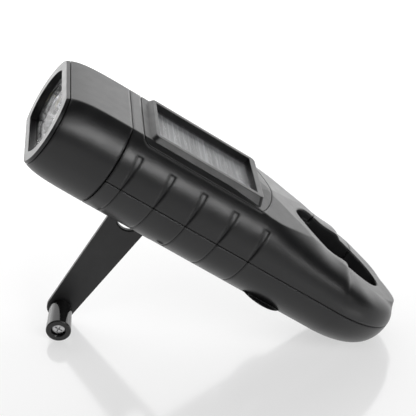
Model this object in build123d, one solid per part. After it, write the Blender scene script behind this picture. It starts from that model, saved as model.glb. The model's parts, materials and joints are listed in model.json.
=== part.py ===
from build123d import *
import math
import os

# Hand-crank and solar hand torch with a carabiner tail, standing on its crank handle and tail.
# Every piece is drawn in the torch's own frame: x runs from the front face to the tip of the
# tail, y across, z out of the solar deck. The finished pieces are then tilted nose-up, so that
# the knob of the folded-down crank and the heel of the tail stand on z = 0. Millimetres.

# ---- overall form ----
TILT = 34.58           # nose-up angle of the torch as it stands
HEAD_END = 22.4        # back of the head
GRIP_END = 76.0        # the constant section ends here
NOSE_X = 112.0         # centre of the rounded tail in plan
DECK_Z = 15.0
BELLY_Z = -14.6
SIDE_RADIUS = 17.0     # bulge of the sides in cross-section
SIDE_Y = 7.2           # centre of that bulge
SIDE_Z = 0.2
PARTING_Z = -1.3
SEAM = 0.35            # width of the fine grooves between mouldings
SEAM_DEPTH = 0.5
WALL = 2.2
CREST_Z = 13.0         # height of the falling crest at CREST_X
CREST_X = 92.0
CREST_START = 76.0     # where the deck starts to fall
SHOULDER_X = 77.0      # tip of the flat crest, between two sloping shoulders
SHOULDER_FALL = 4.3    # slope of the shoulders along the torch, degrees
SHOULDER_LEAN = 5.3    # and towards the sides
CREST_FALL = 0.2       # drop per millimetre of length
CREST_HALF = 11.5      # half width of the crest along the carabiner

# ---- head ----
HEAD_HALF = 23.5
HEAD_FLAT = 15.5
HEAD_TOP = 12.5
HEAD_BOTTOM = -12.2
FLARE_LENGTH = 4.2
MOUTH_HALF = 19.4
MOUTH_FLAT = 12.8
MOUTH_TOP = 9.7
MOUTH_BOTTOM = -9.8
BEZEL_T = 1.0
COLLAR_X = 2.4
COLLAR_T = 1.3
LENS_T = 1.3
CUP_PITCH = 12.0
CUP_RADIUS = 8.4
CUP_FOOT_RADIUS = 2.6
CUP_END_X = 14.0

# ---- solar deck ----
DECK_X0 = 27.0
DECK_X1 = 72.3
DECK_TAIL_X = 77.3
DECK_HALF_Y = 17.6
DECK_FLOOR_Z = 12.9
RIM_X0 = 30.3
RIM_X1 = 71.3
RIM_HALF_Y = 14.5
RIM_Z = 16.6
WINDOW_X0 = 31.7
WINDOW_X1 = 69.0
WINDOW_HALF_Y = 12.7
PANEL_FLOOR_Z = 13.3
PANEL_TOP_Z = 14.5
PANEL_BOARD_T = 0.4
WAFER_T = 0.25
WAFERS = 9

# ---- grip grooves ----
GROOVE_X0 = 28.2
GROOVE_PITCH = 12.0
GROOVES = 5
GROOVE_DEPTH = 0.5

# ---- carabiner ----
GATE_PIN_X = 93.5
GATE_PIN_Y = 13.5
GATE_REACH = 24.2      # hinge pin to the free end of the gate
GATE_KNUCKLE_R = 6.3
GATE_LUG_T = 3.2
GATE_PIN_R = 1.25
GATE_GAP = 0.3
KNOB_SEAT_R = 5.6

# ---- crank ----
CRANK_X = 47.0
DISC_R = 14.5
DISC_TOP_Z = -13.3
DISC_FACE_Z = -15.3
HINGE_Y = 9.6
HINGE_Z = -16.3
HEEL_Z = -86.9         # level of the heel in the standing position
ARM_LEAN = 6.3         # lean of the standing arm from square to the disc
ARM_T = 1.5
ARM_LENGTH = 50.4      # hinge line to knob axis
ARM_ROOT_W = 14.6
ARM_END_R = 4.9
ARM_HOLE_AT = 6.45
ARM_HOLE_R = 4.3
PIN_R = 0.6
KNUCKLE_R = 1.35
KNOB_L = 13.2
KNOB_R_BASE = 3.95
KNOB_R_END = 4.35
KNOB_PIN_R = 1.5

# ---- gear train: crank gear, compound idler, rotor pinion ----
STAGE1_MODULE = 0.6
STAGE2_MODULE = 0.5
CRANK_TEETH = 44
IDLER_PINION_TEETH = 11
IDLER_TEETH = 40
ROTOR_TEETH = 10
IDLER_ANGLE = -34.0    # direction from crank axis to idler axis
ROTOR_ANGLE = 50.0     # direction from idler axis to rotor axis
PRESSURE_ANGLE = 25.0
THINNING = 0.12        # tooth thickness given up for running clearance
STAGE1_Z = -9.5
STAGE1_T = 2.2
STAGE2_Z = -6.6
STAGE2_T = 1.8
SHAFT_R = 3.0
IDLER_PIN_R = 1.0
ROTOR_PIN_R = 0.75

# ---- switch ----
SWITCH_X = 34.2
SWITCH_ANGLE = 15.0    # how far round the side the button sits
BUTTON_R = 4.8

CASE_SCREWS = ((28.6, 11.0), (28.6, -11.0), (76.0, 12.0), (76.0, -12.0))
PLATE_POSTS = ((71.5, -15.5), (62.0, 12.0), (50.5, -17.5))
FAR = 60.0             # reach of cutting blocks beyond the torch

STAGE1_CENTRES = STAGE1_MODULE * (CRANK_TEETH + IDLER_PINION_TEETH) / 2
STAGE2_CENTRES = STAGE2_MODULE * (IDLER_TEETH + ROTOR_TEETH) / 2
IDLER_X = CRANK_X + STAGE1_CENTRES * math.cos(math.radians(IDLER_ANGLE))
IDLER_Y = STAGE1_CENTRES * math.sin(math.radians(IDLER_ANGLE))
ROTOR_X = IDLER_X + STAGE2_CENTRES * math.cos(math.radians(ROTOR_ANGLE))
ROTOR_Y = IDLER_Y + STAGE2_CENTRES * math.sin(math.radians(ROTOR_ANGLE))


# ---- small helpers ----


def block(x0, x1, y0, y1, z0, z1):
    """Box between two corners."""
    return Pos((x0 + x1) / 2, (y0 + y1) / 2, (z0 + z1) / 2) * Box(x1 - x0, y1 - y0, z1 - z0)


def rod(x, y, z0, z1, radius, end_radius=None):
    """Upright cylinder, or cone, from z0 to z1."""
    at = Pos(x, y, (z0 + z1) / 2)
    if end_radius is None:
        return at * Cylinder(radius, z1 - z0)
    return at * Cone(radius, end_radius, z1 - z0)


def rod_x(x0, x1, y, z, radius):
    """Cylinder along x."""
    return Pos((x0 + x1) / 2, y, z) * Rot(0, 90, 0) * Cylinder(radius, x1 - x0)


def rod_y(x, y0, y1, z, radius, end_radius=None):
    """Cylinder, or cone, along y."""
    at = Pos(x, (y0 + y1) / 2, z) * Rot(-90, 0, 0)
    if end_radius is None:
        return at * Cylinder(radius, y1 - y0)
    return at * Cone(radius, end_radius, y1 - y0)


def cross_plane(x):
    """Plane square to the torch's length, drawn with y across and z up."""
    return Plane(origin=(x, 0, 0), x_dir=(0, 1, 0), z_dir=(1, 0, 0))


def bulged_face(x, half, flat, top, bottom):
    """Flat top and bottom joined by bulged sides, in the plane at x."""
    middle = (top + bottom) / 2
    with BuildSketch(cross_plane(x)) as sketch:
        with BuildLine():
            Line((-flat, top), (flat, top))
            ThreePointArc((flat, top), (half, middle), (flat, bottom))
            Line((flat, bottom), (-flat, bottom))
            ThreePointArc((-flat, bottom), (-half, middle), (-flat, top))
        make_face()
    return sketch.sketch.face()


def screw_head(x, y, z0, z1, radius):
    """Pan head with a cross recess in its lower face, z0 being that face."""
    head = rod(x, y, z0, z1, radius)
    slot = radius * 0.62
    recess = block(x - slot, x + slot, y - 0.2, y + 0.2, z0 - 1, z0 + 0.7)
    recess += block(x - 0.2, x + 0.2, y - slot, y + slot, z0 - 1, z0 + 0.7)
    return head - recess


# ---- the torch's outer form ----


def side_y(z, inset=0.0):
    """Half width of the grip at height z."""
    return SIDE_Y + math.sqrt((SIDE_RADIUS - inset) ** 2 - (z - SIDE_Z) ** 2)


def crest_z(x):
    """Height of the deck and of the crest that falls towards the tail."""
    if x < CREST_X:
        return min(DECK_Z, CREST_Z + (DECK_Z - CREST_Z) * (CREST_X - x) / (CREST_X - CREST_START))
    return CREST_Z - CREST_FALL * (x - CREST_X)


def crest_half(x):
    """Half width of the deck as it draws in behind the solar panel."""
    spread = side_y(DECK_Z) - CREST_HALF
    return CREST_HALF + spread / (1 + math.exp((x - 84.0) / 2.2))


def leaving(wide, edge, fullness):
    """Direction in which a bulged side arrives at its edge, having left its widest point upright."""
    across = edge[0] - wide[0]
    rise = edge[1] - wide[1]
    turn = fullness * math.atan2(abs(across), abs(rise))
    return (math.copysign(math.sin(turn), across), math.copysign(math.cos(turn), rise))


def side_curves(edge, wide, foot, fullness):
    """Bulged side from its upper edge, past its widest point, to its foot."""
    over = leaving(wide, edge, fullness)
    under = leaving(wide, foot, 2.0)
    outwards = (0, math.copysign(1.0, foot[1] - wide[1]))
    Spline(edge, wide, tangents=[(-over[0], -over[1]), outwards])
    Spline(wide, foot, tangents=[outwards, under])


def neck_face(x, inset):
    """Cross-section of the grip, and of the part that narrows behind it."""
    top = crest_z(x) - inset
    bottom = BELLY_Z + inset
    half = side_y(SIDE_Z, inset)
    flat = crest_half(x) - 0.4 * inset
    foot = side_y(bottom, inset)
    fullness = 2.0 - 0.3 / (1 + math.exp((86.0 - x) / 3.0))
    with BuildSketch(cross_plane(x)) as sketch:
        with BuildLine():
            Line((-flat, top), (flat, top))
            side_curves((flat, top), (half, SIDE_Z), (foot, bottom), fullness)
            Line((foot, bottom), (-foot, bottom))
            side_curves((-flat, top), (-half, SIDE_Z), (-foot, bottom), fullness)
        make_face()
    return sketch.sketch.face()


def oval(angle, along, across):
    """Radius of an ellipse in the direction at angle from the y axis."""
    return 1 / math.hypot(math.sin(angle) / along, math.cos(angle) / across)


def tail_face(degrees, inset):
    """Section of the tail in an upright plane that turns about the nose centre."""
    angle = math.radians(degrees)
    sine = math.sin(angle)
    plane = Plane(
        origin=(NOSE_X, 0, 0),
        x_dir=(sine, math.cos(angle), 0),
        z_dir=(-math.cos(angle), sine, 0),
    )
    up = plane.y_dir.Z
    inner = 5.0
    edge = oval(angle, 25.6 - inset, CREST_HALF - 0.4 * inset)
    wide = oval(angle, 27.0 - inset, side_y(SIDE_Z, inset))
    foot = oval(angle, 20.5 - inset, side_y(BELLY_Z) - 0.4 * inset)
    wide_z = SIDE_Z - 3.4 * sine ** 2
    edge_z = crest_z(NOSE_X + edge * sine) - inset
    inner_z = crest_z(NOSE_X + inner * sine) - inset
    bottom = BELLY_Z + inset
    with BuildSketch(plane) as sketch:
        with BuildLine():
            Line((inner, up * inner_z), (edge, up * edge_z))
            side_curves(
                (edge, up * edge_z), (wide, up * wide_z), (foot, up * bottom), 1.7 + 0.3 * sine ** 2
            )
            Line((foot, up * bottom), (inner, up * bottom))
            Line((inner, up * bottom), (inner, up * inner_z))
        make_face()
    return sketch.sketch.face()


def shoulder(side, inset):
    """What lies above one of the shoulders that fall away beside the tip of the crest."""
    above = block(-FAR, 1.5 * FAR, -FAR, FAR, 0, FAR)
    place = Pos(SHOULDER_X, 0, DECK_Z - inset) * Rot(0, SHOULDER_FALL, 0)
    return place * Rot(-side * SHOULDER_LEAN, 0, 0) * above & block(0, 200, *sorted((0, side * FAR)), 0, FAR)


def hull(inset=0.0):
    """Grip and carabiner as one closed form, its surface moved inwards by inset."""
    grip = extrude(neck_face(GRIP_END, inset), amount=HEAD_END + inset - GRIP_END)
    neck = loft([neck_face(x, inset) for x in (GRIP_END, 80.0, 84.0, 88.0, 92.0, 98.0, 105.0, NOSE_X)])
    tail = loft([tail_face(degrees, inset) for degrees in range(0, 181, 15)])
    return grip + neck + tail - shoulder(1, inset) - shoulder(-1, inset)


def loop_opening():
    """The see-through opening of the carabiner."""
    side = [(91.5, 4.9), (94.5, 7.4), (99.0, 8.8), (107.0, 9.4), (114.0, 9.1), (120.0, 8.0), (125.5, 5.4)]
    points = [(88.8, 0.0)] + side + [(128.8, 0.0)] + [(x, -y) for x, y in reversed(side)]
    with BuildSketch(Plane.XY.offset(-FAR / 2)) as sketch:
        with BuildLine():
            Spline(*points, periodic=True)
        make_face()
    return extrude(sketch.sketch.face(), amount=FAR)


def heel_cut():
    """What is shaved off the tail to leave a flat heel that is level as the torch stands."""
    return Rot(0, -TILT, 0) * block(0, 2 * FAR, -FAR, FAR, HEEL_Z - FAR, HEEL_Z)


def groove_band(x):
    """Plan of one grip groove seen from the side: a taper down to the parting line, then a slit."""
    with BuildSketch(Plane.XZ) as sketch:
        with BuildLine():
            Polyline(
                (x - 1.1, 10.2),
                (x + 1.1, 10.2),
                (x + 0.18, PARTING_Z),
                (x + 0.18, -13.8),
                (x - 0.18, -13.8),
                (x - 0.18, PARTING_Z),
                close=True,
            )
        make_face()
    return extrude(sketch.sketch.face(), amount=FAR / 2, both=True)


def surface_cuts():
    """Head seam and grip grooves, each as the strip of surface to be removed."""
    form = hull()
    thin = form - hull(SEAM_DEPTH)
    thick = form - hull(GROOVE_DEPTH)
    strips = [thin & block(HEAD_END - 1, HEAD_END + SEAM, -FAR, FAR, -FAR, FAR)]
    for number in range(GROOVES):
        strips.append(thick & groove_band(GROOVE_X0 + number * GROOVE_PITCH))
    return strips


def cavity():
    """Room inside the grip for the mechanism, closed by the solar deck above."""
    room = extrude(bulged_face(25.0, side_y(SIDE_Z, WALL), 13.6, 12.8, BELLY_Z + WALL), amount=54.8)
    return room & block(20, 90, -FAR, FAR, -FAR, ROOF_Z)


def deck_outline(grow=0.0):
    """Plan of the solar cover: straight front and sides, rounded rear."""
    half = DECK_HALF_Y + grow
    with BuildSketch(Plane.XY.offset(DECK_FLOOR_Z)) as sketch:
        with BuildLine():
            front = DECK_X0 - grow
            Line((DECK_X1, half), (front + 3.0, half))
            ThreePointArc((front + 3.0, half), (front + 0.7, half - 1.2), (front, half - 3.4))
            Line((front, half - 3.4), (front, 3.4 - half))
            ThreePointArc((front, 3.4 - half), (front + 0.7, 1.2 - half), (front + 3.0, -half))
            Line((front + 3.0, -half), (DECK_X1, -half))
            ThreePointArc((DECK_X1, -half), (DECK_TAIL_X + grow, 0), (DECK_X1, half))
        make_face()
    return extrude(sketch.sketch.face(), amount=8.0)


def gate_region(gap):
    """Space of the far arm that belongs to the swinging gate, shrunk by gap all round."""
    reach = GATE_REACH - gap
    sector = rod(GATE_PIN_X, GATE_PIN_Y, -FAR, FAR, reach)
    sector = sector & block(GATE_PIN_X + gap, TAIL_END, 2.0, FAR, -FAR, FAR)
    lug = GATE_KNUCKLE_R + 0.3 + gap
    bottom_lug = rod(GATE_PIN_X, GATE_PIN_Y, -FAR, BELLY_Z + GATE_LUG_T + gap, lug)
    top_lug = rod(GATE_PIN_X, GATE_PIN_Y, LUG_TOP_Z - gap, FAR, lug)
    knuckle = rod(GATE_PIN_X, GATE_PIN_Y, BELLY_Z + GATE_LUG_T + gap, LUG_TOP_Z - gap, GATE_KNUCKLE_R + 0.3 - gap)
    tongue = gate_tongue(gap)
    return sector - bottom_lug - top_lug + knuckle + tongue


def gate_tongue(gap):
    """Tongue on the gate's free end that stops in a notch open to the inside of the loop."""
    ring = rod(GATE_PIN_X, GATE_PIN_Y, -4.0 + gap, 3.0 - gap, GATE_REACH + 2.4 - gap)
    return ring & block(GATE_PIN_X + 15, TAIL_END, 4.0, GATE_PIN_Y + 1.5 - gap, -10, 10)


def shell_body():
    """Both shells in one: grooves, deck pocket, gate space, knob seat and heel cut in."""
    body = hull()
    for side in (-1, 1):
        hump = Pos(91.0, side * 11.8, BELLY_Z - 0.8 + 24.0) * Sphere(24.0)
        body += hump & block(80, 101, -FAR, FAR, BELLY_Z - 3, BELLY_Z + 1)
    body -= loop_opening()
    for strip in surface_cuts():
        body -= strip
    body -= deck_outline(0.3) & block(20, 80, -FAR, FAR, DECK_FLOOR_Z, 30)
    body -= gate_region(0.0)
    body -= rod(KNOB_SEAT_X, 0, -FAR, PARTING_Z, KNOB_SEAT_R)
    body -= heel_cut()
    return body


def wiring_neck(gap):
    """Opening between head and grip for the wires."""
    return block(HEAD_END - 3, 26, -9 - gap, 9 + gap, -6 - gap, 6 + gap)


def switch_place(piece):
    """Turn a piece drawn along +y to the button's place on the far side."""
    return Pos(SWITCH_X, SIDE_Y, SIDE_Z) * Rot(SWITCH_ANGLE, 0, 0) * piece


def upper_shell(body):
    """Upper moulding, with its bosses, button hole and the gate's top lug."""
    shell = body & block(0, TAIL_END, -FAR, FAR, PARTING_Z + SEAM / 2, FAR)
    shell -= cavity()
    for x, y in CASE_SCREWS:
        shell += rod(x, y, PARTING_Z, ROOF_Z + 0.4, 3.0)
        shell -= rod(x, y, PARTING_Z - 1, 5.0, 1.25)
    shell -= wiring_neck(0.1)
    shell -= switch_place(rod_y(0, 10, 22, 0, BUTTON_R + 0.25))
    for side in (-1, 1):
        post = rod_y(side * 7.3, 9.2, 15.3, 0, 1.2)
        shell += switch_place(post)
    shell -= rod(GATE_PIN_X, GATE_PIN_Y, PARTING_Z, 30, GATE_PIN_R)
    return shell


def lower_shell(body):
    """Lower moulding, with the crank recess, gear posts and screw counterbores."""
    shell = body & block(0, TAIL_END, -FAR, FAR, -FAR, PARTING_Z - SEAM / 2)
    shell -= cavity()
    floor = BELLY_Z + WALL
    shell += rod(CRANK_X, 0, floor - 0.1, RECESS_Z + 2.1, DISC_R + 2.2)
    shell += rod(IDLER_X, IDLER_Y, floor - 0.1, STAGE1_Z - 0.2, 2.2)
    shell += rod(ROTOR_X, ROTOR_Y, floor - 0.1, STAGE2_Z - 0.2, 2.0)
    for x, y in PLATE_POSTS:
        shell += rod(x, y, floor - 0.1, PLATE_Z, 1.8)
        shell -= rod(x, y, PLATE_Z - 3.0, PLATE_Z, 0.8)
    for x, y in CASE_SCREWS:
        shell += rod(x, y, floor - 0.1, PARTING_Z, 3.0)
        shell -= rod(x, y, -FAR, PARTING_Z + 1, 1.3)
        shell -= rod(x, y, -FAR, BELLY_Z + 2.0, 2.6)
    shell -= rod(CRANK_X, 0, -FAR, RECESS_Z, DISC_R + 0.3)
    shell -= rod(CRANK_X, 0, -FAR, PARTING_Z, 4.6)
    shell -= rod(IDLER_X, IDLER_Y, floor - 1.2, PARTING_Z, IDLER_PIN_R)
    shell -= rod(ROTOR_X, ROTOR_Y, floor - 1.2, PARTING_Z, ROTOR_PIN_R)
    shell -= wiring_neck(0.1)
    shell -= rod(GATE_PIN_X, GATE_PIN_Y, BELLY_Z + 1.0, 0, GATE_PIN_R)
    return shell


# ---- solar deck ----


def frame_block(spread, z0, z1, top_spread):
    """Raised frame with sloping walls, spread being how far its foot stands out."""
    faces = []
    for z, out in ((z0, spread), (z1, top_spread)):
        plane = Plane.XY.offset(z)
        x0 = RIM_X0 - out * 1.3
        x1 = RIM_X1 + out * 0.6
        half = RIM_HALF_Y + out * 1.7
        middle = Pos((x0 + x1) / 2, 0)
        faces.append(plane * middle * RectangleRounded(x1 - x0, 2 * half, 1.6))
    return loft(faces)


def solar_cover():
    """Cover plate that follows the deck, with a raised frame round the panel."""
    plate = hull() & deck_outline() & block(20, 80, -FAR, FAR, DECK_FLOOR_Z, 30)
    frame = frame_block(1.5, DECK_FLOOR_Z, RIM_Z, 0.0)
    cover = plate + frame
    cover -= block(WINDOW_X0, WINDOW_X1, -WINDOW_HALF_Y, WINDOW_HALF_Y, PANEL_FLOOR_Z, 30)
    return cover


def panel_slab(inset, z0, z1):
    """Rectangular layer of the solar panel."""
    half = WINDOW_HALF_Y - inset
    return block(WINDOW_X0 + inset, WINDOW_X1 - inset, -half, half, z0, z1)


def solar_wafers():
    """Strips of cell side by side, narrow gaps between them."""
    length = WINDOW_X1 - WINDOW_X0 - 1.0
    pitch = length / WAFERS
    low = PANEL_FLOOR_Z + PANEL_BOARD_T
    strips = []
    for number in range(WAFERS):
        x = WINDOW_X0 + 0.5 + number * pitch
        strips.append(block(x + 0.12, x + pitch - 0.12, -12.2, 12.2, low, low + WAFER_T))
    return strips


# ---- head ----


def head_face(x):
    """Cross-section of the flared head."""
    flare = math.exp(-x / FLARE_LENGTH)
    top = DECK_Z - (DECK_Z - HEAD_TOP) * flare
    bottom = BELLY_Z - (BELLY_Z - HEAD_BOTTOM) * flare
    return bulged_face(x, HEAD_HALF + 0.5 * (1 - flare), HEAD_FLAT, top, bottom)


def mouth(x0, x1, grow):
    """Prism of the light opening's outline, grown all round."""
    face = bulged_face(x0, MOUTH_HALF + grow, MOUTH_FLAT + 0.6 * grow, MOUTH_TOP + grow, MOUTH_BOTTOM - grow)
    return extrude(face, amount=x1 - x0)


def head_form(x0, x1):
    """Solid head between two cross-sections."""
    stations = [x for x in (0.0, 1.0, 1.35, 3.0, 5.5, 9.0, 14.0, HEAD_END) if x0 <= x <= x1]
    return loft([head_face(x) for x in stations])


def bezel_ring():
    """Front ring with a collar that reaches back to the lens."""
    ring = head_form(0.0, BEZEL_T) + mouth(0.5, COLLAR_X, COLLAR_T)
    return ring - mouth(-1.0, 5.0, 0.0)


def head_shell():
    """Flared housing of the lamp."""
    shell = head_form(1.35, HEAD_END)
    shell -= mouth(0.0, 19.5, COLLAR_T + 0.05)
    shell -= wiring_neck(0.2)
    collar = wiring_neck(0.0) - block(0, HEAD_END - 2, -FAR, FAR, -FAR, FAR)
    collar -= block(0, 30, -7.6, 7.6, -4.6, 4.6)
    bridge = block(HEAD_END - 2, HEAD_END, -12, 12, -8, 8) - block(0, 30, -7.6, 7.6, -4.6, 4.6)
    return shell + bridge + collar


def lens():
    """Flat clear cover behind the bezel's collar."""
    return mouth(COLLAR_X, COLLAR_X + LENS_T, COLLAR_T)


def reflector():
    """Rim plate with three bright cups side by side."""
    front = COLLAR_X + LENS_T
    body = mouth(front, front + 1.2, COLLAR_T)
    for number in (-1, 0, 1):
        y = number * CUP_PITCH
        body += cup(y, front, 0.9)
    for number in (-1, 0, 1):
        y = number * CUP_PITCH
        body -= cup(y, front, 0.0)
    return body & mouth(front, CUP_END_X, COLLAR_T)


def cup(y, front, wall):
    """Flared reflector cup, closing in towards the light source."""
    with BuildSketch(Plane.XZ) as sketch:
        with BuildLine():
            mouth_r = CUP_RADIUS + wall
            foot_r = CUP_FOOT_RADIUS + wall
            bend = ((front + CUP_END_X) / 2 + 2.6, (mouth_r + foot_r) / 2 + 0.4)
            Line((front, 0), (front, mouth_r))
            ThreePointArc((front, mouth_r), bend, (CUP_END_X, foot_r))
            Line((CUP_END_X, foot_r), (CUP_END_X, 0))
            Line((CUP_END_X, 0), (front, 0))
        make_face()
    return Pos(0, y, 0) * revolve(sketch.sketch.face(), Axis.X)


def led_board():
    """Aluminium board behind the cups."""
    return mouth(CUP_END_X, CUP_END_X + 1.2, COLLAR_T)


def leds():
    """Three emitters, each a base with a dome."""
    lamps = []
    for number in (-1, 0, 1):
        base = Pos(CUP_END_X - 0.6, number * CUP_PITCH, 0) * Box(1.2, 3.2, 3.2)
        dome = Pos(CUP_END_X - 1.2, number * CUP_PITCH, 0) * Sphere(1.3)
        dome &= block(0, CUP_END_X - 0.6, -FAR, FAR, -FAR, FAR)
        lamps.append(base + dome)
    return lamps


def board_clamp():
    """Ring that holds the lamp parts against the bezel."""
    ring = mouth(CUP_END_X + 1.2, 19.5, COLLAR_T) - mouth(0, 25, -1.0)
    return ring


# ---- carabiner gate ----


def carabiner_gate():
    """Far arm of the loop, hinged near the grip and swinging inwards."""
    gate = (hull() - loop_opening()) & gate_region(GATE_GAP)
    gate -= rod(GATE_PIN_X, GATE_PIN_Y, -FAR, FAR, GATE_PIN_R + 0.06)
    gate -= rod(GATE_PIN_X, GATE_PIN_Y, SPRING_Z0 - 0.3, SPRING_Z1 + 0.3, GATE_PIN_R + 1.6)
    return gate


def gate_pin():
    """Steel pin through both lugs."""
    return rod(GATE_PIN_X, GATE_PIN_Y, BELLY_Z + 1.0, PIN_TOP_Z, GATE_PIN_R)


def gate_spring():
    """Closing spring wound on the pin."""
    pitch = 0.75
    radius = GATE_PIN_R + 0.8
    path = Helix(pitch=pitch, height=SPRING_Z1 - SPRING_Z0, radius=radius)
    path = Pos(GATE_PIN_X, GATE_PIN_Y, SPRING_Z0) * path
    section = Plane(origin=path @ 0, z_dir=path % 0) * Circle(0.28)
    return sweep(section, path=path, is_frenet=True)


# ---- crank ----


def crank_disc():
    """Round plate under the belly, with the boss and the arm's hinge lugs."""
    disc = rod(CRANK_X, 0, DISC_FACE_Z, DISC_TOP_Z, DISC_R)
    disc = chamfer(disc.edges().filter_by(GeomType.CIRCLE).group_by(Axis.Z)[0], 0.4)
    for side in (-1, 1):
        x0 = CRANK_X + side * 4.0
        x1 = CRANK_X + side * 6.6
        low, high = sorted((x0, x1))
        disc += rod_x(low, high, HINGE_Y, HINGE_Z, 1.5)
        disc += block(low, high, HINGE_Y - 1.5, HINGE_Y + 1.5, HINGE_Z, DISC_FACE_Z)
    disc -= rod_x(CRANK_X - 3.95, CRANK_X + 3.95, HINGE_Y, HINGE_Z, KNUCKLE_R + 0.3)
    disc -= rod_x(CRANK_X - 7, CRANK_X + 7, HINGE_Y, HINGE_Z, PIN_R)
    disc -= rod(CRANK_X, 0, -FAR, 0, 1.25)
    disc -= rod(CRANK_X, 0, DISC_FACE_Z - 1, DISC_FACE_Z + 1.0, 2.2)
    return disc


def crank_shaft():
    """Steel shaft from the disc to the first gear, with a flat for the gear."""
    shaft = rod(CRANK_X, 0, DISC_TOP_Z, STAGE1_Z + STAGE1_T + 0.8, SHAFT_R)
    shaft -= block(CRANK_X + SHAFT_R - 0.6, CRANK_X + 9, -9, 9, STAGE1_Z, 0)
    shaft -= rod(CRANK_X, 0, -FAR, STAGE1_Z + 1.0, 1.25)
    return shaft


def disc_screw():
    """Pan-head screw that holds the disc to the shaft."""
    head = screw_head(CRANK_X, 0, DISC_FACE_Z + 0.1, DISC_FACE_Z + 1.0, 2.2)
    return head + rod(CRANK_X, 0, DISC_FACE_Z + 1.0, STAGE1_Z + 0.5, 1.25)


def shaft_bushing():
    """Brass bearing of the crank shaft, pressed into the lower shell."""
    bushing = rod(CRANK_X, 0, RECESS_Z, RECESS_Z + 2.1, 4.6)
    bushing += rod(CRANK_X, 0, RECESS_Z + 2.1, STAGE1_Z - 0.2, 5.6)
    return bushing - rod(CRANK_X, 0, -FAR, FAR, SHAFT_R + 0.05)


def stand_arm(piece):
    """Lean a piece drawn straight down from the hinge to its standing place."""
    return Pos(CRANK_X, HINGE_Y, HINGE_Z) * Rot(ARM_LEAN, 0, 0) * piece


def crank_arm():
    """Stamped arm: wide root with a round hole, narrowing to the rounded knob end."""
    half = ARM_ROOT_W / 2
    with BuildSketch(Plane.XZ) as sketch:
        with BuildLine():
            spread = math.asin((half - ARM_END_R) / ARM_LENGTH)
            end_x = ARM_END_R * math.cos(spread)
            end_z = ARM_END_R * math.sin(spread) - ARM_LENGTH
            Line((-3.6, 0), (-3.6, -2.3))
            Line((-3.6, -2.3), (-half, -2.3))
            Line((-half, -2.3), (-end_x, end_z))
            ThreePointArc((-end_x, end_z), (0, -ARM_LENGTH - ARM_END_R), (end_x, end_z))
            Line((end_x, end_z), (half, -2.3))
            Line((half, -2.3), (3.6, -2.3))
            Line((3.6, -2.3), (3.6, 0))
            Line((3.6, 0), (-3.6, 0))
        make_face()
    arm = extrude(sketch.sketch.face(), amount=ARM_T / 2, both=True)
    arm += rod_x(-3.6, 3.6, 0, 0, KNUCKLE_R)
    arm -= rod_x(-5, 5, 0, 0, PIN_R + 0.05)
    arm -= rod_y(0, -5, 5, -ARM_HOLE_AT, ARM_HOLE_R)
    arm -= rod_y(0, -ARM_T / 2, -ARM_T / 2 + 0.4, -ARM_HOLE_AT, ARM_HOLE_R + 0.4, ARM_HOLE_R)
    arm -= rod_y(0, -5, 5, -ARM_LENGTH, KNOB_PIN_R)
    return stand_arm(arm)


def hinge_pin():
    """Pin through the lugs and the arm's knuckle."""
    return rod_x(CRANK_X - 6.6, CRANK_X + 6.6, HINGE_Y, HINGE_Z, PIN_R)


def crank_knob():
    """Turned handle knob with a hollow end."""
    start = -ARM_T / 2 - 0.3
    knob = rod_y(0, start - KNOB_L, start, -ARM_LENGTH, KNOB_R_END, KNOB_R_BASE)
    ends = knob.edges().filter_by(GeomType.CIRCLE)
    knob = fillet(ends, 0.5)
    knob -= rod_y(0, start - KNOB_L - 1, start - KNOB_L + 2.6, -ARM_LENGTH, 2.5)
    knob -= rod_y(0, -20, 0, -ARM_LENGTH, KNOB_PIN_R + 0.06)
    return stand_arm(knob)


def knob_screw():
    """Shoulder screw that the knob turns on, riveted in the arm."""
    start = -ARM_T / 2 - 0.3
    end = start - KNOB_L + 2.5
    screw = rod_y(0, end, ARM_T / 2, -ARM_LENGTH, KNOB_PIN_R)
    head = rod_y(0, end - 1.2, end, -ARM_LENGTH, 2.1)
    slot = Pos(0, end - 1.2, -ARM_LENGTH) * (Box(2.8, 1.4, 0.45) + Box(0.45, 1.4, 2.8))
    return stand_arm(screw + (head - slot))


# ---- gears ----


def roll_angle(angle):
    """Involute function."""
    return math.tan(angle) - angle


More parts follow.
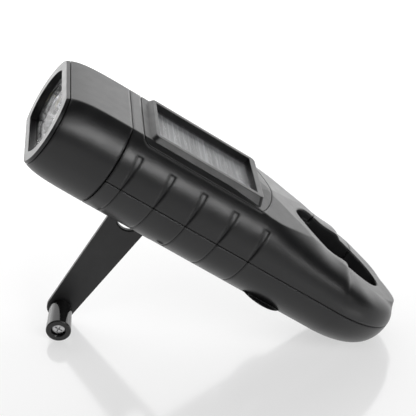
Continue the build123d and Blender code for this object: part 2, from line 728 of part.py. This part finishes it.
def gear(teeth, module, z0, thickness):
    """Spur gear with involute teeth, one tooth pointing along +x."""
    pitch_r = module * teeth / 2
    base_r = pitch_r * math.cos(math.radians(PRESSURE_ANGLE))
    tip_r = pitch_r + 0.8 * module
    root_r = pitch_r - 1.1 * module
    start_r = max(base_r, root_r)
    half_tooth = math.pi / (2 * teeth) - THINNING / (2 * pitch_r)
    middle = half_tooth + roll_angle(math.radians(PRESSURE_ANGLE))

    def flank(radius, side, centre):
        angle = centre + side * (middle - roll_angle(math.acos(base_r / radius)))
        return (radius * math.cos(angle), radius * math.sin(angle))

    radii = [start_r + (tip_r - start_r) * step / 3 for step in range(4)]
    with BuildSketch(Plane.XY.offset(z0)) as sketch:
        with BuildLine():
            for number in range(teeth):
                centre = 2 * math.pi * number / teeth
                rising = [flank(radius, -1, centre) for radius in radii]
                falling = [flank(radius, 1, centre) for radius in reversed(radii)]
                following = flank(start_r, -1, centre + 2 * math.pi / teeth)
                out = math.atan2(falling[-1][1], falling[-1][0])
                back = math.atan2(following[1], following[0])
                if back < out:
                    back += 2 * math.pi
                root_out = (root_r * math.cos(out), root_r * math.sin(out))
                root_back = (root_r * math.cos(back), root_r * math.sin(back))
                root_mid = (root_r * math.cos((out + back) / 2), root_r * math.sin((out + back) / 2))
                tip_mid = (tip_r * math.cos(centre), tip_r * math.sin(centre))
                Spline(*rising)
                ThreePointArc(rising[-1], tip_mid, falling[0])
                Spline(*falling)
                if start_r > root_r:
                    Line(falling[-1], root_out)
                    ThreePointArc(root_out, root_mid, root_back)
                    Line(root_back, following)
                else:
                    ThreePointArc(falling[-1], root_mid, following)
        make_face()
    return extrude(sketch.sketch.face(), amount=thickness)


def drive_gear():
    """Crank gear with lightening holes, keyed to the shaft's flat."""
    body = Rot(0, 0, IDLER_ANGLE) * gear(CRANK_TEETH, STAGE1_MODULE, STAGE1_Z, STAGE1_T)
    for number in range(6):
        angle = math.radians(60 * number)
        body -= rod(8.2 * math.cos(angle), 8.2 * math.sin(angle), -20, 0, 2.4)
    bore = rod(0, 0, -20, 0, SHAFT_R) - block(SHAFT_R - 0.6, 9, -9, 9, -20, 0)
    return Pos(CRANK_X, 0, 0) * (body - bore)


def idler_gear():
    """Compound idler: small pinion below, large gear above."""
    pinion_turn = IDLER_ANGLE + 180 + 180 / IDLER_PINION_TEETH
    pinion = Rot(0, 0, pinion_turn) * gear(IDLER_PINION_TEETH, STAGE1_MODULE, STAGE1_Z, STAGE1_T)
    wheel = Rot(0, 0, ROTOR_ANGLE) * gear(IDLER_TEETH, STAGE2_MODULE, STAGE2_Z, STAGE2_T)
    for number in range(5):
        angle = math.radians(72 * number)
        wheel -= rod(6.2 * math.cos(angle), 6.2 * math.sin(angle), -20, 0, 1.8)
    body = pinion + wheel + rod(0, 0, STAGE1_Z + STAGE1_T, STAGE2_Z, 2.6)
    body -= rod(0, 0, -20, 0, IDLER_PIN_R + 0.05)
    return Pos(IDLER_X, IDLER_Y, 0) * body


def rotor():
    """Generator pinion, neck and carrier moulded in one."""
    turn = ROTOR_ANGLE + 180 + 180 / ROTOR_TEETH
    body = Rot(0, 0, turn) * gear(ROTOR_TEETH, STAGE2_MODULE, STAGE2_Z, STAGE2_T)
    body += rod(0, 0, STAGE2_Z + STAGE2_T, MAGNET_Z0, 1.8)
    body += rod(0, 0, MAGNET_Z0 - 0.6, MAGNET_Z1, 2.6)
    body -= rod(0, 0, -20, 20, ROTOR_PIN_R + 0.05)
    return Pos(ROTOR_X, ROTOR_Y, 0) * body


def ring(x, y, z0, z1, inner, outer):
    """Upright ring."""
    return rod(x, y, z0, z1, outer) - rod(x, y, z0 - 1, z1 + 1, inner)


def gear_plate():
    """Plate over the gears that holds the upper ends of their pins."""
    with BuildSketch(Plane.XY.offset(PLATE_Z)) as sketch:
        with BuildLine():
            Polyline(
                (48.5, -19.5),
                (72.0, -18.0),
                (79.0, -7.0),
                (79.0, 8.0),
                (72.0, 14.0),
                (60.0, 14.5),
                (55.0, 8.0),
                (48.5, -10.0),
                close=True,
            )
        make_face()
        fillet(sketch.vertices(), 1.5)
    plate = extrude(sketch.sketch.face(), amount=PLATE_T)
    plate -= rod(IDLER_X, IDLER_Y, -20, 20, IDLER_PIN_R)
    plate -= rod(ROTOR_X, ROTOR_Y, -20, 20, 3.0)
    for x, y in CASE_SCREWS:
        plate -= rod(x, y, -20, 20, 3.4)
    for x, y in PLATE_POSTS:
        plate -= rod(x, y, -20, 20, 0.8)
    return plate


def plate_screws():
    """Screws of the gear plate."""
    screws = []
    for x, y in PLATE_POSTS:
        head = rod(x, y, PLATE_Z + PLATE_T, PLATE_Z + PLATE_T + 1.0, 1.5)
        screws.append(head + rod(x, y, PLATE_Z - 3.0, PLATE_Z + PLATE_T, 0.8))
    return screws


def stator_coil():
    """Wound ring round the magnet, on six stubby poles."""
    coil = ring(ROTOR_X, ROTOR_Y, MAGNET_Z0 + 0.6, MAGNET_Z1 - 0.6, 7.0, 8.8)
    for number in range(6):
        angle = math.radians(60 * number)
        bump = rod(8.3 * math.cos(angle), 8.3 * math.sin(angle), MAGNET_Z0 + 0.6, MAGNET_Z1 - 0.6, 1.1)
        coil += Pos(ROTOR_X, ROTOR_Y, 0) * bump
    return coil


def stator_core():
    """Iron ring under the winding."""
    return ring(ROTOR_X, ROTOR_Y, PLATE_Z + PLATE_T, MAGNET_Z0 + 0.6, 6.4, 8.8)


# ---- electrics ----


def main_board():
    """Circuit board under the solar deck."""
    board = block(30.0, 74.0, -14.5, 14.5, 9.6, 10.8)
    for x, y in CASE_SCREWS:
        board -= rod(x, y, 0, 20, 3.2)
    return board


def board_parts():
    """Converter chip, inductor and capacitors under the board."""
    parts = [block(58, 64, -4, 2, 8.2, 9.6), block(66, 70, 6, 10, 7.6, 9.6)]
    parts += [block(58 + 3 * n, 59.6 + 3 * n, 5, 8, 8.7, 9.6) for n in range(2)]
    return parts


def battery():
    """Short rechargeable cell lying across the grip."""
    cell = rod_y(40.0, -12.5, 12.5, 1.3, 7.0)
    return fillet(cell.edges().filter_by(GeomType.CIRCLE), 0.6)


def battery_tabs():
    """Strips from the cell's ends up to the board."""
    return [block(38.0, 42.0, y, y + 0.3, -1.0, 9.6) for y in (-12.8, 12.5)]


def switch_button():
    """Push button in the far side, with a flange behind the wall."""
    cap = rod_y(0, 12.6, 17.4, 0, BUTTON_R)
    cap = chamfer(cap.edges().filter_by(GeomType.CIRCLE).group_by(Axis.Y)[-1], 0.5)
    cap += rod_y(0, 12.6, 13.3, 0, BUTTON_R + 0.8)
    return switch_place(cap)


def switch_body():
    """Tactile switch behind the button."""
    return switch_place(block(-3, 3, 9.2, 11.0, -3, 3) + rod_y(0, 11.0, 11.7, 0, 1.5))


def switch_board():
    """Small board on two posts that carries the switch."""
    return switch_place(block(-8.6, 8.6, 8.2, 9.2, -3.6, 3.6))


def case_screws():
    """Screws that close the shells from below."""
    screws = []
    for x, y in CASE_SCREWS:
        head = screw_head(x, y, BELLY_Z + 0.4, BELLY_Z + 2.0, 2.4)
        screws.append(head + rod(x, y, BELLY_Z + 2.0, 5.0, 1.25))
    return screws


# ---- derived places ----

TAIL_END = 145.0
ROOF_Z = DECK_FLOOR_Z - 1.7
RECESS_Z = DISC_TOP_Z + 0.25
LUG_TOP_Z = crest_z(GATE_PIN_X) - 3.4
KNOB_SEAT_X = CRANK_X + ARM_LENGTH - HINGE_Y
SPRING_Z0 = -4.0
SPRING_Z1 = 1.5
PIN_TOP_Z = crest_z(GATE_PIN_X) - 1.0
PLATE_Z = -4.2
PLATE_T = 1.2
MAGNET_Z0 = -2.2
MAGNET_Z1 = 4.2


def pieces():
    """Every piece by name, in the torch's own frame."""
    body = shell_body()
    return {
        "head_shell": head_shell(),
        "bezel_ring": bezel_ring(),
        "lens": lens(),
        "reflector": reflector(),
        "led_board": led_board(),
        "leds": leds(),
        "board_clamp": board_clamp(),
        "upper_shell": upper_shell(body),
        "lower_shell": lower_shell(body),
        "solar_cover": solar_cover(),
        "solar_board": panel_slab(0.0, PANEL_FLOOR_Z, PANEL_FLOOR_Z + PANEL_BOARD_T),
        "solar_wafers": solar_wafers(),
        "solar_window": panel_slab(0.1, PANEL_FLOOR_Z + PANEL_BOARD_T + WAFER_T, PANEL_TOP_Z),
        "carabiner_gate": carabiner_gate(),
        "gate_pin": gate_pin(),
        "gate_spring": gate_spring(),
        "crank_disc": crank_disc(),
        "crank_shaft": crank_shaft(),
        "disc_screw": disc_screw(),
        "shaft_bushing": shaft_bushing(),
        "crank_arm": crank_arm(),
        "hinge_pin": hinge_pin(),
        "crank_knob": crank_knob(),
        "knob_screw": knob_screw(),
        "drive_gear": drive_gear(),
        "idler_gear": idler_gear(),
        "idler_pin": rod(IDLER_X, IDLER_Y, BELLY_Z + WALL - 1.2, PLATE_Z + PLATE_T, IDLER_PIN_R),
        "rotor": rotor(),
        "rotor_magnet": ring(ROTOR_X, ROTOR_Y, MAGNET_Z0, MAGNET_Z1, 2.6, 6.0),
        "rotor_pin": rod(ROTOR_X, ROTOR_Y, BELLY_Z + WALL - 1.2, MAGNET_Z1 + 1.0, ROTOR_PIN_R),
        "gear_plate": gear_plate(),
        "plate_screws": plate_screws(),
        "stator_coil": stator_coil(),
        "stator_core": stator_core(),
        "main_board": main_board(),
        "board_parts": board_parts(),
        "battery": battery(),
        "battery_tabs": battery_tabs(),
        "switch_button": switch_button(),
        "switch_body": switch_body(),
        "switch_board": switch_board(),
        "case_screws": case_screws(),
    }


def standing(piece):
    """Tilt a piece, or each of several, nose-up."""
    if isinstance(piece, list):
        return Compound(children=[Rot(0, TILT, 0) * solid for solid in piece])
    return Rot(0, TILT, 0) * piece


def main():
    os.makedirs("parts", exist_ok=True)
    placed = {name: standing(piece) for name, piece in pieces().items()}
    boxes = [piece.bounding_box() for piece in placed.values()]
    low_x = min(box.min.X for box in boxes)
    high_x = max(box.max.X for box in boxes)
    low_y = min(box.min.Y for box in boxes)
    high_y = max(box.max.Y for box in boxes)
    low_z = min(box.min.Z for box in boxes)
    shift = Pos(-(low_x + high_x) / 2, -(low_y + high_y) / 2, -low_z)
    print("origin shift", shift.position)
    for name, piece in placed.items():
        export_step(shift * piece, "parts/" + name + ".step")


if __name__ == "__main__":
    main()
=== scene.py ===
import math
import json

import bpy
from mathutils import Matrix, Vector

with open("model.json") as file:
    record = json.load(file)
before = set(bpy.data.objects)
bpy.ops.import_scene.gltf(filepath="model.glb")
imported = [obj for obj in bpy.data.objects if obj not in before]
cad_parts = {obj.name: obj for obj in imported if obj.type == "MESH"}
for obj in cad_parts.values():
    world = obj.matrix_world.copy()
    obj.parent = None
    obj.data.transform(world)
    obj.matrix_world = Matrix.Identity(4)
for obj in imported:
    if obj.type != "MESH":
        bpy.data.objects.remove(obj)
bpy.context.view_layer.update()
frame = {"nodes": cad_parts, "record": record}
nodes = frame["nodes"]
MM = 0.001

# ---- the torch's own axes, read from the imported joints, and two of its sizes in millimetres ----
JOINTS = {joint["name"]: joint for joint in frame["record"]["behaviour"]["joints"]}
OUT = Vector(JOINTS["crank_spin"]["axis"]).normalized()       # out of the solar deck
ALONG = Vector(JOINTS["arm_fold"]["axis"]).normalized()       # front face to tail
ACROSS = OUT.cross(ALONG).normalized()
CRANK = Vector(JOINTS["crank_spin"]["pos_m"])
CRANK_X = 47.0
DISC_FACE_Z = -15.3
ORIGIN = CRANK - ALONG * CRANK_X * MM - OUT * DISC_FACE_Z * MM


def torch(x, y, z):
    """Point given in the torch's own axes, in millimetres."""
    return ORIGIN + (ALONG * x + ACROSS * y + OUT * z) * MM


# ---- materials ----


def new_material(name):
    """Empty node material with its shader and output."""
    material = bpy.data.materials.new(name)
    material.use_nodes = True
    tree = material.node_tree
    shader = tree.nodes["Principled BSDF"]
    return material, tree, shader


def noise(tree, scale, detail=4.0, stretch=None):
    """Noise in object space, scale in cells per metre."""
    place = tree.nodes.new("ShaderNodeTexCoord")
    mapping = tree.nodes.new("ShaderNodeMapping")
    texture = tree.nodes.new("ShaderNodeTexNoise")
    texture.inputs["Scale"].default_value = scale
    texture.inputs["Detail"].default_value = detail
    if stretch:
        mapping.inputs["Scale"].default_value = stretch
    tree.links.new(place.outputs["Object"], mapping.inputs["Vector"])
    tree.links.new(mapping.outputs["Vector"], texture.inputs["Vector"])
    return texture.outputs["Fac"]


def spread(tree, value, low, high, start=0.35, end=0.65):
    """Map a noise value to a range."""
    node = tree.nodes.new("ShaderNodeMapRange")
    node.inputs["From Min"].default_value = start
    node.inputs["From Max"].default_value = end
    node.inputs["To Min"].default_value = low
    node.inputs["To Max"].default_value = high
    tree.links.new(value, node.inputs["Value"])
    return node.outputs["Result"]


def tint(tree, value, dark, light):
    """Colour that varies between two tones."""
    ramp = tree.nodes.new("ShaderNodeValToRGB")
    ramp.color_ramp.elements[0].position = 0.35
    ramp.color_ramp.elements[0].color = (*dark, 1)
    ramp.color_ramp.elements[1].position = 0.65
    ramp.color_ramp.elements[1].color = (*light, 1)
    tree.links.new(value, ramp.inputs["Fac"])
    return ramp.outputs["Color"]


def bump(tree, shader, height, distance, soft=0.0):
    """Relief from a height value over edges eased by a radius, both in metres."""
    node = tree.nodes.new("ShaderNodeBump")
    node.inputs["Distance"].default_value = distance
    tree.links.new(height, node.inputs["Height"])
    if soft:
        eased = tree.nodes.new("ShaderNodeBevel")
        eased.samples = 6
        eased.inputs["Radius"].default_value = soft
        tree.links.new(eased.outputs["Normal"], node.inputs["Normal"])
    tree.links.new(node.outputs["Normal"], shader.inputs["Normal"])


def stripes(tree, pitch, share):
    """One across the torch in narrow lines, nought between them."""
    place = tree.nodes.new("ShaderNodeTexCoord")
    along = tree.nodes.new("ShaderNodeVectorMath")
    along.operation = "DOT_PRODUCT"
    along.inputs[1].default_value = ALONG / pitch
    tree.links.new(place.outputs["Object"], along.inputs[0])
    turn = tree.nodes.new("ShaderNodeMath")
    turn.operation = "FRACT"
    tree.links.new(along.outputs["Value"], turn.inputs[0])
    line = tree.nodes.new("ShaderNodeMath")
    line.operation = "LESS_THAN"
    line.inputs[1].default_value = share
    tree.links.new(turn.outputs["Value"], line.inputs[0])
    return line.outputs["Value"]


CONVEX = (0.53, 0.62)  # pointiness from which an edge starts to wear, and of a fully worn one


def edge_wear(tree, colour, worn, amount):
    """Blend towards a worn tone on convex edges."""
    geometry = tree.nodes.new("ShaderNodeNewGeometry")
    mask = spread(tree, geometry.outputs["Pointiness"], 0.0, amount, *CONVEX)
    mix = tree.nodes.new("ShaderNodeMix")
    mix.data_type = "RGBA"
    mix.inputs["B"].default_value = (*worn, 1)
    tree.links.new(mask, mix.inputs["Factor"])
    tree.links.new(colour, mix.inputs["A"])
    return mix.outputs["Result"]


def plastic(name, dark, light, rough, grain, grain_depth, wear=0.0, soft=0.0):
    """Moulded plastic with a fine grain, slow tone changes and scuffed edges."""
    material, tree, shader = new_material(name)
    colour = tint(tree, noise(tree, 60.0, 3.0), dark, light)
    if wear:
        colour = edge_wear(tree, colour, tuple(min(1.0, 3.0 * c + 0.05) for c in light), wear)
    tree.links.new(colour, shader.inputs["Base Color"])
    tree.links.new(spread(tree, noise(tree, 240.0, 6.0), rough[0], rough[1]), shader.inputs["Roughness"])
    bump(tree, shader, noise(tree, grain, 2.0), grain_depth, soft)
    return material


def metal(name, dark, light, rough, stretch=(1, 1, 1), scale=500.0, relief=0.00001):
    """Bare metal with drawn or turned marks."""
    material, tree, shader = new_material(name)
    shader.inputs["Metallic"].default_value = 1.0
    marks = noise(tree, scale, 5.0, stretch)
    tree.links.new(tint(tree, marks, dark, light), shader.inputs["Base Color"])
    tree.links.new(spread(tree, marks, rough[0], rough[1]), shader.inputs["Roughness"])
    bump(tree, shader, marks, relief)
    return material


def paint(name, dark, light, rough, scale, depth):
    """Sprayed paint with a slight orange peel."""
    material, tree, shader = new_material(name)
    tree.links.new(tint(tree, noise(tree, 90.0), dark, light), shader.inputs["Base Color"])
    tree.links.new(spread(tree, noise(tree, 400.0, 6.0), rough[0], rough[1]), shader.inputs["Roughness"])
    bump(tree, shader, noise(tree, scale, 3.0), depth)
    return material


LINE_PITCH = 0.00202   # collector lines of a cell, metres
LINE_SHARE = 0.12      # share of that pitch which is line


def wafer(name):
    """Grey cell strip with fine collector lines across it."""
    material, tree, shader = new_material(name)
    body = tint(tree, noise(tree, 500.0, 4.0), (0.29, 0.295, 0.305), (0.33, 0.335, 0.345))
    mix = tree.nodes.new("ShaderNodeMix")
    mix.data_type = "RGBA"
    mix.inputs["B"].default_value = (0.62, 0.63, 0.65, 1)
    tree.links.new(stripes(tree, LINE_PITCH, LINE_SHARE), mix.inputs["Factor"])
    tree.links.new(body, mix.inputs["A"])
    tree.links.new(mix.outputs["Result"], shader.inputs["Base Color"])
    tree.links.new(spread(tree, noise(tree, 900.0), 0.28, 0.36), shader.inputs["Roughness"])
    return material


def clear(name, colour, rough, ior, cover):
    """Clear moulding with faint flow marks."""
    material, tree, shader = new_material(name)
    shader.inputs["Transmission Weight"].default_value = 1.0
    shader.inputs["IOR"].default_value = ior
    shader.inputs["Alpha"].default_value = cover
    tree.links.new(tint(tree, noise(tree, 120.0), colour, (0.99, 0.99, 0.99)), shader.inputs["Base Color"])
    tree.links.new(spread(tree, noise(tree, 300.0), rough, rough + 0.01), shader.inputs["Roughness"])
    return material


INK = (0.0065, 0.0065, 0.007)
SOOT = (0.0085, 0.0085, 0.009)
SHELL = plastic("shell_black", INK, SOOT, (0.31, 0.35), 3200.0, 0.00002, wear=0.06, soft=0.0012)
COVER = plastic("cover_black", INK, SOOT, (0.36, 0.42), 3000.0, 0.00002, wear=0.08, soft=0.0004)
BEZEL = plastic("bezel_black", INK, SOOT, (0.30, 0.36), 2600.0, 0.00001, wear=0.05, soft=0.0003)
ARM = paint("arm_black", (0.009, 0.009, 0.0095), (0.013, 0.013, 0.0135), (0.40, 0.48), 1500.0, 0.00002)
KNOB = plastic("knob_black", (0.005, 0.005, 0.005), (0.008, 0.008, 0.008), (0.12, 0.18), 900.0, 0.000005)
STEEL = metal("steel_plain", (0.42, 0.42, 0.43), (0.62, 0.62, 0.62), (0.2, 0.34))
BRIGHT = metal("reflector_bright", (0.86, 0.87, 0.88), (0.94, 0.94, 0.94), (0.05, 0.10), scale=200.0)
BRASS = metal("bushing_brass", (0.55, 0.38, 0.14), (0.74, 0.55, 0.26), (0.25, 0.4))
ALUMINIUM = metal("aluminium_plate", (0.6, 0.6, 0.61), (0.75, 0.75, 0.76), (0.3, 0.42), (1, 12, 1))
COPPER = metal("copper_wire", (0.5, 0.2, 0.09), (0.8, 0.4, 0.2), (0.2, 0.35), (1, 1, 18), 900.0, 0.0001)
BOARD = plastic("board_green", (0.01, 0.09, 0.035), (0.02, 0.15, 0.06), (0.28, 0.4), 900.0, 0.00003)
CELL = wafer("wafer_grey")
BACKING = plastic("cell_backing", (0.62, 0.62, 0.63), (0.70, 0.70, 0.71), (0.35, 0.45), 1800.0, 0.00001)
ACETAL = plastic("acetal_natural", (0.62, 0.6, 0.55), (0.72, 0.7, 0.65), (0.35, 0.5), 1500.0, 0.00002)
IRON = plastic("ferrite_grey", (0.05, 0.05, 0.055), (0.09, 0.09, 0.1), (0.45, 0.6), 1800.0, 0.00004)
SLEEVE = plastic("cell_sleeve", (0.02, 0.08, 0.22), (0.03, 0.11, 0.28), (0.2, 0.3), 700.0, 0.00002)
LAMP = plastic("emitter_dome", (0.8, 0.7, 0.28), (0.95, 0.85, 0.45), (0.15, 0.25), 700.0, 0.00001)
LENS = clear("lens_clear", (0.97, 0.98, 0.985), 0.01, 1.45, 0.35)
WINDOW = clear("window_clear", (0.97, 0.98, 0.985), 0.01, 1.48, 0.25)

FINISH = {
    SHELL: ("head_shell", "upper_shell", "lower_shell", "carabiner_gate", "crank_disc", "board_clamp"),
    COVER: ("solar_cover",),
    BEZEL: ("bezel_ring",),
    ARM: ("crank_arm",),
    KNOB: ("crank_knob", "switch_button", "switch_body"),
    STEEL: (
        "knob_screw", "disc_screw", "hinge_pin", "gate_pin", "gate_spring", "crank_shaft",
        "idler_pin", "rotor_pin", "case_screws", "plate_screws", "battery_tabs",
    ),
    BRIGHT: ("reflector",),
    BRASS: ("shaft_bushing",),
    ALUMINIUM: ("led_board", "gear_plate"),
    COPPER: ("stator_coil",),
    BOARD: ("main_board", "switch_board"),
    BACKING: ("solar_board",),
    CELL: ("solar_wafers",),
    ACETAL: ("drive_gear", "idler_gear", "rotor"),
    IRON: ("rotor_magnet", "stator_core", "board_parts"),
    SLEEVE: ("battery",),
    LAMP: ("leds",),
    LENS: ("lens",),
    WINDOW: ("solar_window",),
}
for material, names in FINISH.items():
    for name in names:
        for slot in nodes[name].material_slots:
            slot.material = material

# ---- floor, light and camera ----


def stage_mesh(name, verts, faces, material):
    """Plain mesh that isn't part of the object."""
    mesh = bpy.data.meshes.new(name)
    mesh.from_pydata(verts, [], faces)
    piece = bpy.data.objects.new(name, mesh)
    bpy.context.collection.objects.link(piece)
    mesh.materials.append(material)
    return piece


NEAR_GLOW = 0.55       # the floor brightens from the object towards the backdrop
FAR_GLOW = 1.6
FAR_GLOW_Y = 0.7       # metres
FLOOR_REACH = 6.0
floor_material, floor_tree, floor_shader = new_material("studio_floor")
floor_shader.inputs["Base Color"].default_value = (0.42, 0.42, 0.42, 1)
floor_shader.inputs["Roughness"].default_value = 0.12
floor_shader.inputs["IOR"].default_value = 1.7
floor_shader.inputs["Emission Color"].default_value = (1.0, 1.0, 1.0, 1)
floor_place = floor_tree.nodes.new("ShaderNodeTexCoord")
floor_parts = floor_tree.nodes.new("ShaderNodeSeparateXYZ")
floor_tree.links.new(floor_place.outputs["Object"], floor_parts.inputs["Vector"])
floor_glow = spread(floor_tree, floor_parts.outputs["Y"], NEAR_GLOW, FAR_GLOW, 0.0, FAR_GLOW_Y)
floor_tree.links.new(floor_glow, floor_shader.inputs["Emission Strength"])
corners = [(x * FLOOR_REACH, y * FLOOR_REACH, 0) for x, y in ((-1, -1), (1, -1), (1, 1), (-1, 1))]
stage_mesh("studio_floor", corners, [(0, 1, 2, 3)], floor_material)

# ---- surroundings: white to the eye, bright backdrop, dark room on the near side ----
BACKDROP = 1.6
ROOM = 0.04
world = bpy.data.worlds.new("studio")
bpy.context.scene.world = world
world.use_nodes = True
world_tree = world.node_tree
room_light = world_tree.nodes["Background"]
room_light.inputs["Color"].default_value = (1.0, 1.0, 1.0, 1)
seen = world_tree.nodes.new("ShaderNodeBackground")
seen.inputs["Color"].default_value = (1.0, 1.0, 1.0, 1)
path = world_tree.nodes.new("ShaderNodeLightPath")
either = world_tree.nodes.new("ShaderNodeMixShader")
direction = world_tree.nodes.new("ShaderNodeTexCoord")
parts = world_tree.nodes.new("ShaderNodeSeparateXYZ")
fade = world_tree.nodes.new("ShaderNodeMapRange")
fade.interpolation_type = "SMOOTHSTEP"
fade.inputs["From Min"].default_value = 0.25
fade.inputs["From Max"].default_value = 0.75
fade.inputs["To Min"].default_value = ROOM
fade.inputs["To Max"].default_value = BACKDROP
world_tree.links.new(direction.outputs["Generated"], parts.inputs["Vector"])
world_tree.links.new(parts.outputs["Y"], fade.inputs["Value"])
world_tree.links.new(fade.outputs["Result"], room_light.inputs["Strength"])
world_tree.links.new(path.outputs["Is Camera Ray"], either.inputs["Fac"])
world_tree.links.new(room_light.outputs["Background"], either.inputs[1])
world_tree.links.new(seen.outputs["Background"], either.inputs[2])
world_tree.links.new(either.outputs["Shader"], world_tree.nodes["World Output"].inputs["Surface"])


def softbox(name, place, target, width, height, power):
    """Rectangular area light aimed at a point."""
    data = bpy.data.lights.new(name, "AREA")
    data.shape = "RECTANGLE"
    data.size = width
    data.size_y = height
    data.energy = power
    light = bpy.data.objects.new(name, data)
    bpy.context.collection.objects.link(light)
    light.location = place
    light.rotation_euler = (Vector(target) - Vector(place)).to_track_quat("-Z", "Y").to_euler()
    return light


softbox("strip_above", (-0.1, -0.66, 0.82), (0, 0, 0.04), 1.5, 0.22, 2.0)
softbox("key_right", (0.53, -0.74, 0.48), (0, 0, 0.06), 0.6, 0.22, 3.8)
softbox("far_left", (-0.9, 1.5, 0.30), (-0.06, 0, 0.08), 1.2, 0.6, 1.1)

# ---- camera ----
CAM_TURN = math.radians(4.80)
CAM_DROP = math.radians(27.38)
CAM_DISTANCE = 475.54 * MM
CAM_LENS = 125.03
AIM = Vector((51.36, 0, -36.96)) * MM    # point looked at, from the middle of the front face

camera_data = bpy.data.cameras.new("camera")
camera_data.sensor_width = 36.0
camera_data.lens = CAM_LENS
camera_data.clip_start = 0.01
camera_data.clip_end = 50.0
camera = bpy.data.objects.new("camera", camera_data)
bpy.context.collection.objects.link(camera)
bpy.context.scene.camera = camera
forward = Vector((
    math.sin(CAM_TURN) * math.cos(CAM_DROP),
    math.cos(CAM_TURN) * math.cos(CAM_DROP),
    -math.sin(CAM_DROP),
))
camera.location = torch(0, 0, 0) + AIM - forward * CAM_DISTANCE
camera.rotation_euler = forward.to_track_quat("-Z", "Y").to_euler()

bpy.context.scene.view_settings.view_transform = "Standard"
bpy.context.scene.view_settings.look = "None"
